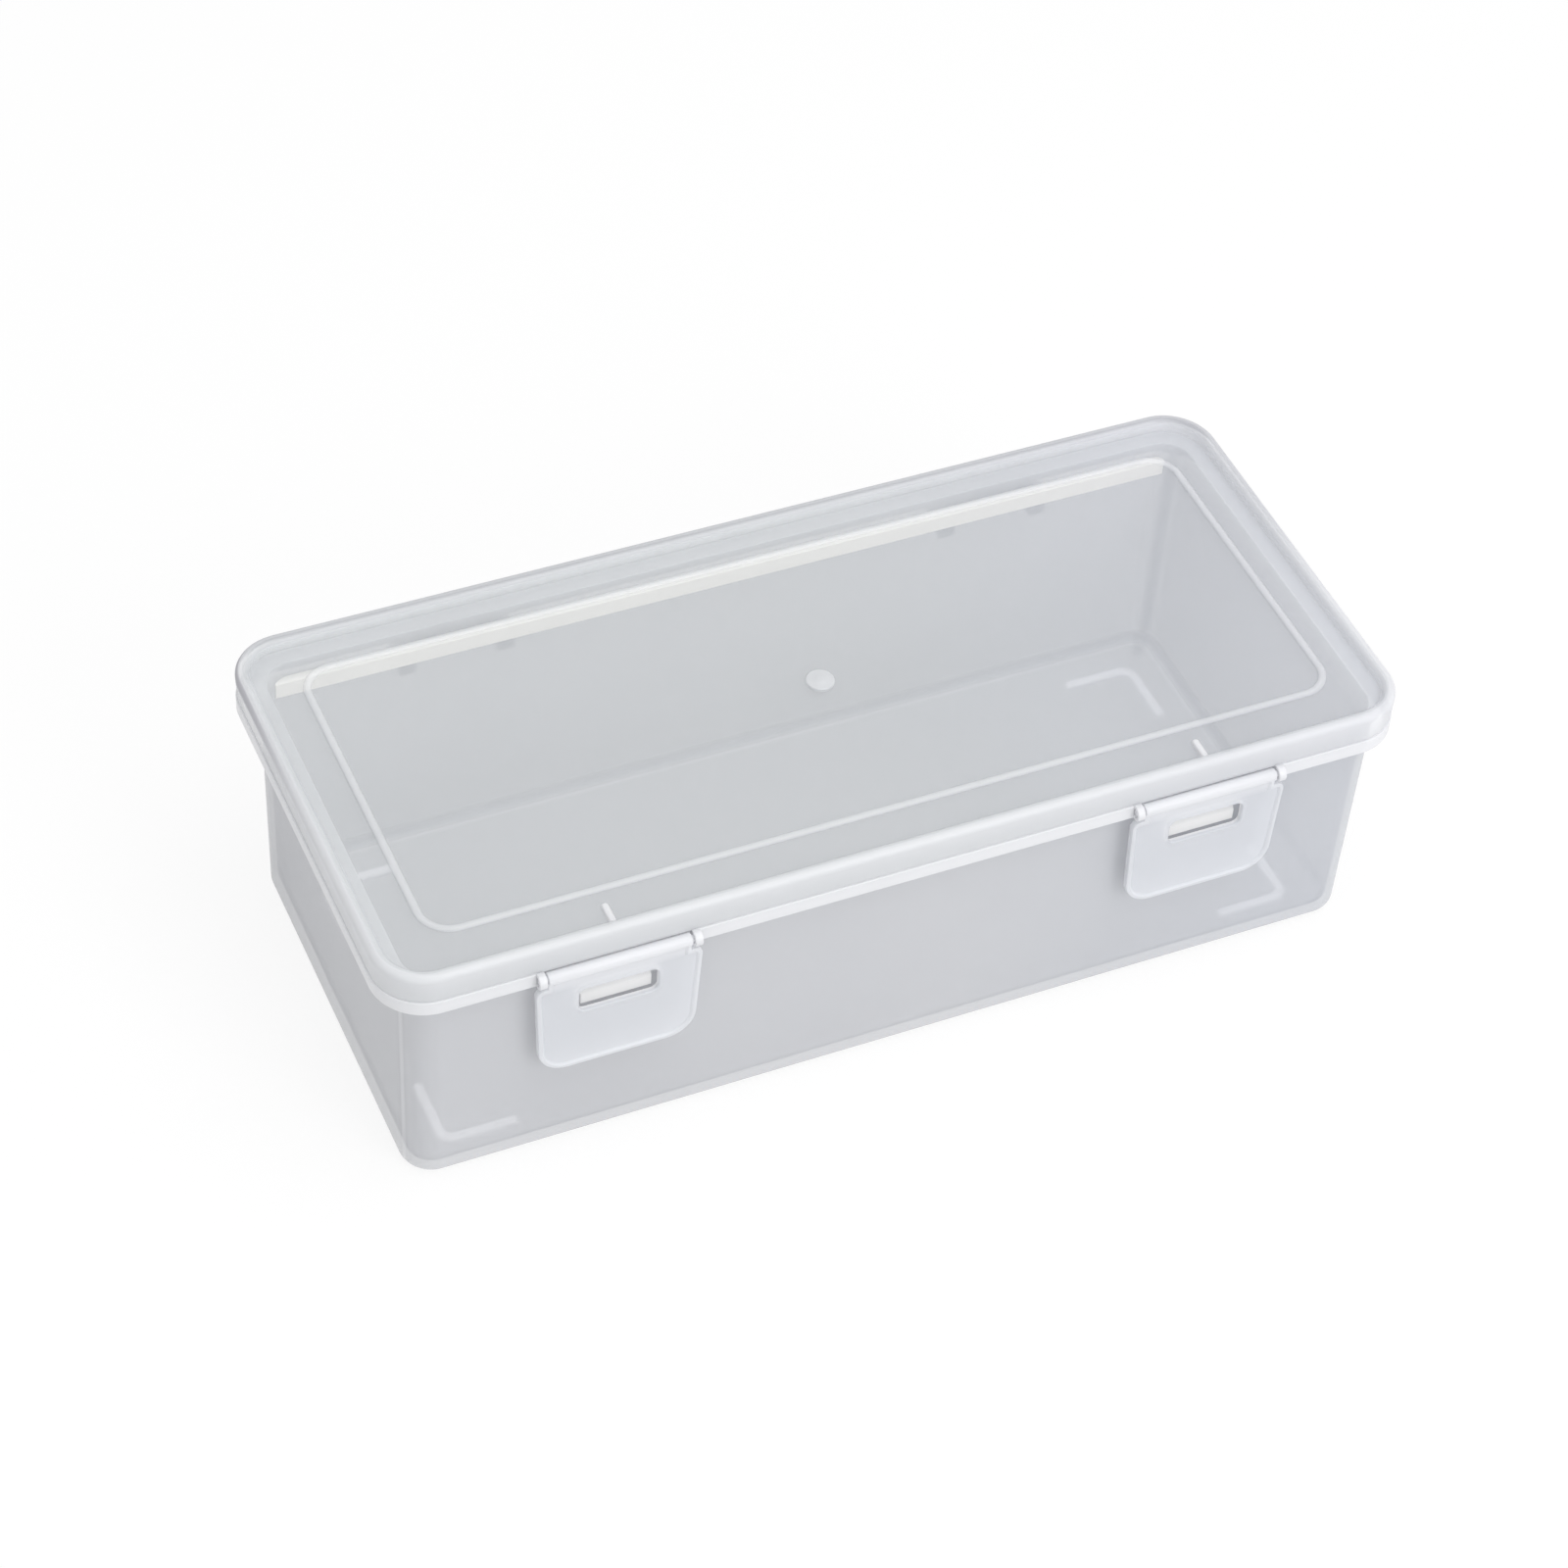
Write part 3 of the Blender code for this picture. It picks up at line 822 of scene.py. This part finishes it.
def overFeet(place):
    # where the floor's underside carries its four L-shaped feet; values over 1 add painted glow there,
    # more over the front feet than the rear ones
    s = trayShape
    half = s["footWidth"] / 2
    blur = s["footBlur"] * mm
    x = abs(place.axis("X"))
    y = abs(place.axis("Y") + footForward * mm)
    z = place.axis("Z")
    outer = outsideOf(place, footX, footY, s["footCorner"] - half, footForward)
    strip = outer.between(-half * mm, half * mm, blur)
    reach = s["footArm"] + half
    low = 1 - z.above((floorUnder + floorTop) / 2 * mm, s["floorBlur"] * mm)
    arms = x.above((footX - reach) * mm, blur) * y.above((footY - reach) * mm, blur)
    ahead = 1 - place.axis("Y").above(0, mm)
    density = s["overRearFootDensityAndGlow"] + ahead * (s["overFrontFootDensityAndGlow"] - s["overRearFootDensityAndGlow"])
    return strip * arms * low * density


def aroundCatches(place):
    # the front wall is thicker where a catch is moulded on, and is whitened there with painted light
    # against the shade behind the latch
    s = trayShape
    half = latchShape["windowWidth"] / 2
    x = abs(place.axis("X"))
    z = place.axis("Z")
    front = 1 - place.axis("Y").above(0, mm)
    top = latchPivotZ - latchShape["windowBelowPivot"]
    beside = x.between((latchX - half) * mm, (latchX + half) * mm, mm)
    level = z.between((top - latchShape["windowHeight"]) * mm, top * mm, mm)
    return front * beside * level * s["catchRootDensityAndLight"]


def alongCorners(place):
    # the front (first) and rear upright corners, and the rear part of both end walls: where a painted
    # highlight runs down the front corners, and painted shade down the rear ones and over the rear of the
    # end walls
    s = trayShape
    x = abs(place.axis("X")) - (trayX - trayCorner) * mm
    y = place.axis("Y")
    across = abs(y + s["forward"] * mm) - (trayY - trayCorner) * mm
    bent = x.above(0, mm) * across.above(0, mm)
    rear = y.above(0, mm)
    offFront = abs(across - x * s["frontStripeSlope"])
    offRear = abs(x - across)
    front = bent * (1 - rear) * (1 - offFront.above(s["frontStripe"] * mm, mm))
    back = bent * rear * (1 - offRear.above(s["rearStripe"] * mm, s["rearStripeBlur"] * mm))
    growing = y.above(trayY * rearFrom * mm, trayY * rearBlur * mm)
    end = x.above((trayCorner - s["endInset"]) * mm, mm) * growing
    return front, back, end


def thickAndLitTrayPlaces(place):
    # thicker over the feet and at the catch roots, with painted glow there, and a painted highlight down
    # the front corners
    front, _, _ = alongCorners(place)
    return overFeet(place).larger(aroundCatches(place)).larger(front * trayShape["frontCornerHighlight"])


def paintedShadeTrayPlaces(place):
    # painted shade down the rear upright corners and over the rear of both end walls
    _, back, end = alongCorners(place)
    return (back * trayShape["cornerShade"]).larger(end * trayShape["endShade"])


def makeFeet(material):
    s = trayShape
    half = s["footWidth"] / 2
    reach = s["footArm"] + half
    feet = []
    edge, bevel = s["footRound"], s["footBevel"]
    levels = ((edge, 0), (bevel, bevel), (0, edge), (0, floorUnder + overlap))
    signs = {"FrontLeft": (-1, -1), "FrontRight": (1, -1), "RearLeft": (-1, 1), "RearRight": (1, 1)}
    for name, (sideX, sideY) in signs.items():
        rings = []
        for draw, level in levels:
            grown = half - draw
            tip = grown * s["footTip"]
            corners = [
                (-grown, -grown, s["footCorner"] - draw),
                (reach - draw, -grown, tip),
                (reach - draw, grown, tip),
                (grown, grown, s["footCorner"] - s["footWidth"] + draw),
                (grown, reach - draw, tip),
                (-grown, reach - draw, tip),
            ]
            loop = roundedLoop(corners, s["footSteps"])
            placed = [(sideX * (footX - u), sideY * (footY - v) - footForward) for u, v in loop]
            # a value over 1 lights the feet with painted glow
            rings.append((placed, level, s["footDensityAndGlow"]))
        feet.append(meshPiece("trayFoot" + name, loftShape(rings, "Z"), material))
    return feet


def makeRail(material):
    s = trayShape
    top = lipTop - s["railBelowLip"]
    bottom = top - s["railHeight"]
    wallY = trayWallY(1, s["wall"], bottom)
    outline = roundedLoop([
        (wallY + overlap, bottom - overlap, hiddenRound),
        (wallY + overlap, top + overlap, hiddenRound),
        (wallY - s["railDepth"], top - s["railDepth"], s["railRound"]),
        (wallY - s["railDepth"], bottom + s["railDepth"], s["railRound"]),
    ], s["railSteps"])
    reach = trayX - s["wall"] - s["railFromEnd"]
    shape = softBlock(outline, -reach, reach, "X", s["railEndRound"], s["railDensity"])
    thinAbove(shape, top, s["railTopDensity"])
    return meshPiece("trayRearRail", shape, material)


def makeCatches(material):
    s = trayShape
    w = latchShape
    pieces = []
    wallY = trayWallY(-1, 0, latchPivotZ)
    tabBackY = latchPivotY - w["forward"] + w["wall"]
    noseY = tabBackY + s["catchToTab"]
    top = latchPivotZ - w["windowBelowPivot"] - s["catchBelowWindowTop"]
    bottom = latchPivotZ - w["windowBelowPivot"] - w["windowHeight"] + s["catchToSill"]
    outline = roundedLoop([
        (wallY + overlap, bottom, hiddenRound),
        (noseY, bottom, s["catchFootRound"]),
        (noseY, bottom + s["catchNoseHeight"], s["catchNoseRound"]),
        (wallY, top, hiddenRound),
        (wallY + overlap, top, hiddenRound),
    ], s["catchSteps"])
    half = s["catchWidth"] / 2
    for name, middle in (("Left", -latchX), ("Right", latchX)):
        low, high = middle - half, middle + half
        shape = softBlock(outline, low, high, "X", s["catchEndRound"], s["catchDensity"])
        thinAbove(shape, top - s["catchFade"], s["catchTopDensity"])
        pieces.append(meshPiece("trayCatch" + name, shape, material))
    return pieces


def makeHingeEars(material):
    s = trayShape
    ears = []
    wallY = trayWallY(1, 0, hingeZ)
    radius = lidShape["hingeEarRadius"]
    corner = radius * s["earRoundShare"]
    outline = roundedLoop([
        (wallY - overlap, hingeZ - 2 * radius, hiddenRound),
        (hingeY, hingeZ - radius, s["earSlantRound"]),
        (hingeY + radius, hingeZ - radius, corner),
        (hingeY + radius, hingeZ + radius, corner),
        (wallY - overlap, hingeZ + radius, hiddenRound),
    ], s["earSteps"])
    hole = roundLoop(hingeY, hingeZ, s["earHoleRadius"], holeSides)
    for sideName, middle in (("Left", -hingeX), ("Right", hingeX)):
        for endName, side in (("Near", -1), ("Far", 1)):
            edge = middle + side * (lidShape["barrelLength"] / 2 + lidShape["turningGap"])
            low, high = sorted((edge, edge + side * s["earThickness"]))
            shape = softBlock(outline, low, high, "X", s["earEndRound"], s["earDensity"])
            ear = meshPiece("trayHingeEar" + sideName + endName, shape, material)
            carve(ear, [(hole, low - cutOverrun, high + cutOverrun)])
            ears.append(ear)
    return ears


# Latches

latchShape = {
    "width": 28.2,
    "taper": 0.8,
    "wall": 1.3,
    "lowCorner": 5.0,
    "shoulderCorner": 1.5,
    "edgeRound": 0.3,
    "edgeBevel": 0.09,
    "border": 1.0,
    "borderHeight": 0.3,
    "borderIn": 0.3,
    "borderOut": 0.1,
    "borderFlat": 0.4,
    "forward": 0.7,
    "barrelRadius": 1.1,
    "barrelDraw": 0.2,
    "barrelBevel": 0.05,
    "barrelBevelReach": 0.08,
    "barrelRoundReach": 0.25,
    "barrelSides": 28,
    "pinRadius": 0.6,
    "pinLength": 1.4,
    "pinBevel": 0.12,
    "windowWidth": 13.4,
    "windowHeight": 4.9,
    "windowBelowPivot": 4.4,
    "windowCorner": 1.2,
    "windowRound": 0.2,
    "windowBevel": 0.05,
    "windowFrame": 0.8,
    "frameHeight": 0.1,
    "frameFlat": 0.2,
    "frameSlope": 0.3,
    "rootBelow": 1.0,
    "rootBlur": 2.5,
    "steps": 10,
    "faceDensity": 0.1,
    "borderDensity": 0.3,
    "frameDensity": 0.12,
    "sillDensityAndGlow": 1.0,
    "rootDensity": 0.45,
    "barrelDensity": 0.6,
}

earEnd = latchShape["width"] / 2 - lidShape["latchEarFromSide"]
earStart = earEnd - lidShape["latchEarThickness"]
neckHalf = earStart - lidShape["turningGap"]
shoulderZ = min(latchPivotZ - lidShape["latchEarRadius"], skirtBottom) - lidShape["turningGap"]


def tabLoop(middle, inset):
    # a neck that ends inside the barrel, shoulders under the lid's ears, and sides that draw in
    s = latchShape
    topHalf = s["width"] / 2 - inset
    lowHalf = topHalf - s["taper"]
    low = latchLow.z + inset
    shoulder = shoulderZ - inset
    return roundedLoop([
        (middle + topHalf, shoulder, s["shoulderCorner"] - inset),
        (middle + neckHalf - inset, shoulder, 0),
        (middle + neckHalf - inset, latchPivotZ, 0),
        (middle - neckHalf + inset, latchPivotZ, 0),
        (middle - neckHalf + inset, shoulder, 0),
        (middle - topHalf, shoulder, s["shoulderCorner"] - inset),
        (middle - lowHalf, low, s["lowCorner"] - inset),
        (middle + lowHalf, low, s["lowCorner"] - inset),
    ], s["steps"])


def windowLoop(middle, inset):
    # a negative inset is outside the window's edge; the upper corners have two more steps each, as
    # many as the neck adds to the tab's outline
    s = latchShape
    centreZ = latchPivotZ - s["windowBelowPivot"] - s["windowHeight"] / 2
    halfX = s["windowWidth"] / 2 - inset
    halfZ = s["windowHeight"] / 2 - inset
    counts = (s["steps"] + 2, s["steps"] + 2, s["steps"], s["steps"])
    return roundedBox(halfX, halfZ, s["windowCorner"] - inset, counts, middle, centreZ)


def makeTab(name, middle, material):
    # one closed band of rings: from the window's edge out over the back, round the rim and in over
    # the face
    s = latchShape
    back = latchPivotY - s["forward"] + s["wall"]
    front = latchPivotY - s["forward"]
    sunk = front + s["borderHeight"]
    edge, bevel = s["edgeRound"], s["edgeBevel"]
    rings = []
    # the window's sill is whitened as thick and given painted glow to lift the shade in the gap under the
    # catch
    for draw, level in ((0, back - edge), (-bevel, back - bevel), (-edge, back)):
        rings.append((windowLoop(middle, draw), level, s["sillDensityAndGlow"]))
    rings.append((windowLoop(middle, -s["windowFrame"]), back, s["faceDensity"]))
    rings.append((tabLoop(middle, s["border"]), back, s["faceDensity"]))
    rim = [(edge, back), (bevel, back - bevel), (0, back - edge)]
    rim += [(0, front + edge), (bevel, front + bevel), (edge, front)]
    for draw, level in rim:
        rings.append((tabLoop(middle, draw), level, s["borderDensity"]))
    rings.append((tabLoop(middle, s["border"] - s["borderIn"]), front, s["borderDensity"]))
    rings.append((tabLoop(middle, s["border"] + s["borderOut"]), sunk, s["faceDensity"]))
    rings.append((tabLoop(middle, s["border"] + s["borderFlat"]), sunk, s["faceDensity"]))
    rings.append((windowLoop(middle, -s["windowFrame"] - s["frameFlat"]), sunk, s["faceDensity"]))
    rings.append((windowLoop(middle, -s["windowFrame"]), sunk, s["frameDensity"]))
    proud = sunk - s["frameHeight"]
    rings.append((windowLoop(middle, s["frameSlope"] - s["windowFrame"]), proud, s["frameDensity"]))
    edge, bevel = s["windowRound"], s["windowBevel"]
    for draw, level in ((-edge, proud), (-bevel, sunk + bevel), (0, sunk + edge)):
        rings.append((windowLoop(middle, draw), level, s["frameDensity"]))
    return meshPiece(name, loftShape(rings, "Y", closed=True), material)


def nearBarrel(place):
    # the tab is thicker towards its barrel
    s = latchShape
    near = place.axis("Z").above((shoulderZ - s["rootBelow"]) * mm, s["rootBlur"] * mm)
    return near * s["rootDensity"]


def makeLatchBarrel(name, middle, material):
    s = latchShape
    half = neckHalf
    profile = []
    for side in (-1, 1):
        end = [
            (s["pinRadius"] - s["pinBevel"], half + s["pinLength"]),
            (s["pinRadius"], half + s["pinLength"] - s["pinBevel"]),
            (s["pinRadius"], half),
            (s["barrelRadius"] - s["barrelDraw"], half),
            (s["barrelRadius"] - s["barrelBevel"], half - s["barrelBevelReach"]),
            (s["barrelRadius"], half - s["barrelRoundReach"]),
        ]
        levels = [(radius, middle + side * reach) for radius, reach in end]
        profile += levels if side < 0 else levels[::-1]
    centre = (latchPivotY, latchPivotZ)
    shape = turnedShape(centre, profile, "X", s["barrelSides"], s["barrelDensity"])
    return meshPiece(name, shape, material)


# Everything is made, given its CAD body and its finish

trayMaterial = frostedPlastic(trayPlastic, thickAndLitTrayPlaces, paintedShadeTrayPlaces)
lidMaterial = frostedPlastic(lidPlastic, None, paintedRearEdgeShade)
latchMaterial = frostedPlastic(latchPlastic, nearBarrel)
railMaterial = frostedPlastic(railPlastic)
catchMaterial = frostedPlastic(catchPlastic)


def settle(pieces, body, node):
    for piece in pieces:
        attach(piece, body)
    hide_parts(node)


lidPieces = [makeLidShell(lidMaterial), *makeLidMarks(lidMaterial)]
lidPieces += makeLatchEars(lidMaterial) + makeLidBarrels(lidMaterial)
settle(lidPieces, "lid", "lid")
print("lid:", len(lidPieces), "pieces")

trayPieces = [makeTrayShell(trayMaterial), *makeFeet(trayMaterial), makeRail(railMaterial)]
trayPieces += makeCatches(catchMaterial) + makeHingeEars(trayMaterial)
settle(trayPieces, "tray", "tray")
print("tray:", len(trayPieces), "pieces")

for sideName, node, middle in (("Left", "latch_left", -latchX), ("Right", "latch_right", latchX)):
    latchPieces = [makeTab("latchTab" + sideName, middle, latchMaterial)]
    latchPieces.append(makeLatchBarrel("latchBarrel" + sideName, middle, latchMaterial))
    settle(latchPieces, node, node)
print("latches: done")


# Studio

studio = {
    "floorSize": 6.0,
    "floorBelow": 0.05,
    "floorColour": solidColour(0.9, 0.9, 0.9),
    "whiteShare": 0.86,
    "roomLevel": 0.68,
    "lamps": {
        "topSoftbox": {"place": (0.15, -0.3, 1.1), "aim": (0, 0, 0), "size": 0.9, "power": 5.6},
        "frontRight": {"place": (0.3, -1.0, 0.6), "aim": (0, 0, 0.02), "size": 0.6, "power": 4.6},
    },
}
photoCamera = {
    "azimuth": -26.644,
    "elevation": 45.460,
    "roll": 4.471,
    "distance": 708.8,
    "aimHeight": 25.0,
    "slideRight": -4.60,
    "slideUp": 0.34,
    "lens": 96.18,
    "sensor": 36.0,
    "clipEnd": 20,  # metres
}


def makeFloor():
    half = studio["floorSize"] / 2
    shape = bmesh.new()
    level = -studio["floorBelow"] * mm
    signs = ((1, 1), (-1, 1), (-1, -1), (1, -1))
    shape.faces.new([shape.verts.new((x * half, y * half, level)) for x, y in signs])
    mesh = bpy.data.meshes.new("paleFloor")
    shape.to_mesh(mesh)
    shape.free()
    floor = bpy.data.objects.new("paleFloor", mesh)
    bpy.context.scene.collection.objects.link(floor)
    material = bpy.data.materials.new("paleFloor")
    material.use_nodes = True
    tree = material.node_tree
    tree.nodes.clear()
    first = Wire(tree)
    seen = seenDirectly(first)
    paper = first.node("ShaderNodeBsdfDiffuse", None, {"Color": studio["floorColour"]})
    white = first.node("ShaderNodeEmission", None, {"Strength": 1})
    mixed = first.node("ShaderNodeMixShader", None, {0: seen * studio["whiteShare"], 1: paper, 2: white})
    output = tree.nodes.new("ShaderNodeOutputMaterial")
    tree.links.new(mixed.socket, output.inputs["Surface"])
    mesh.materials.append(material)


def seenDirectly(first):
    # 1 for what the camera sees, also in reflections and through clear plastic
    names = ("Is Camera Ray", "Is Glossy Ray", "Is Transmission Ray")
    camera, glossy, through = (first.node("ShaderNodeLightPath", output=name) for name in names)
    return camera.larger(glossy).larger(through)


def makeRoom():
    world = bpy.data.worlds.new("paleRoom")
    bpy.context.scene.world = world
    world.use_nodes = True
    background = world.node_tree.nodes["Background"]
    seen = seenDirectly(Wire(world.node_tree))
    level = studio["roomLevel"] + (1 - studio["roomLevel"]) * seen
    background.inputs["Color"].default_value = solidColour(1, 1, 1)
    world.node_tree.links.new(level.socket, background.inputs["Strength"])


def makeLamps():
    for name, lamp in studio["lamps"].items():
        data = bpy.data.lights.new(name, "AREA")
        data.shape = "DISK"
        data.size = lamp["size"]
        data.energy = lamp["power"]
        light = bpy.data.objects.new(name, data)
        light.location = lamp["place"]
        light.rotation_mode = "QUATERNION"
        light.rotation_quaternion = (Vector(lamp["aim"]) - Vector(lamp["place"])).to_track_quat("-Z", "Y")
        bpy.context.scene.collection.objects.link(light)


def makeCamera():
    c = photoCamera
    azimuth = math.radians(c["azimuth"])
    elevation = math.radians(c["elevation"])
    level = math.cos(elevation)
    back = Vector((math.sin(azimuth) * level, -math.cos(azimuth) * level, math.sin(elevation)))
    right = Vector((math.cos(azimuth), math.sin(azimuth), 0))
    turn = Matrix.Rotation(math.radians(c["roll"]), 3, back)
    right = turn @ right
    up = back.cross(right)
    data = bpy.data.cameras.new("photoCamera")
    data.lens = c["lens"]
    data.sensor_width = c["sensor"]
    data.clip_end = c["clipEnd"]
    camera = bpy.data.objects.new("photoCamera", data)
    place = Vector((0, 0, c["aimHeight"])) + back * c["distance"]
    place = place + right * c["slideRight"] + up * c["slideUp"]
    basis = Matrix((right, up, back)).transposed().to_4x4()
    camera.matrix_world = Matrix.Translation(place * mm) @ basis
    bpy.context.scene.collection.objects.link(camera)
    bpy.context.scene.camera = camera


makeFloor()
makeRoom()
makeLamps()
makeCamera()
bpy.context.scene.view_settings.view_transform = "Standard"
print("studio: done")
